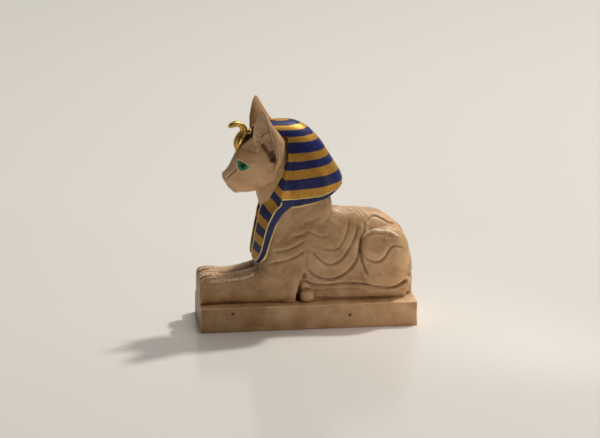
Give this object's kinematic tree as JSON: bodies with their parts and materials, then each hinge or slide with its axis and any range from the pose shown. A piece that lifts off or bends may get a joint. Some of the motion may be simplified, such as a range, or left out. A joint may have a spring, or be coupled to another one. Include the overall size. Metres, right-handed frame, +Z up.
{
  "type": "sphinx statue",
  "caption": "Carved wooden desk figurine of a hairless cat lying as a sphinx on its plinth, with a blue and gold striped headdress, a gilded cobra and green glass eyes.",
  "frame": {"origin": "centre of the plinth's underside, on the surface the statue stands on", "axes": "+X from the paws to the rump along the plinth's length, so the cat faces -X; +Y to the cat's right; +Z up"},
  "size_m": [0.18, 0.054, 0.188],
  "materials": {
    "carved_wood": "satin",
    "gilding": "polished gold leaf",
    "green_glass": "polished"
  },
  "bodies": {
    "root": {"statue": "carved_wood", "uraeus": "gilding", "left_eye": "green_glass", "right_eye": "green_glass"}
  },
  "joints": []
}
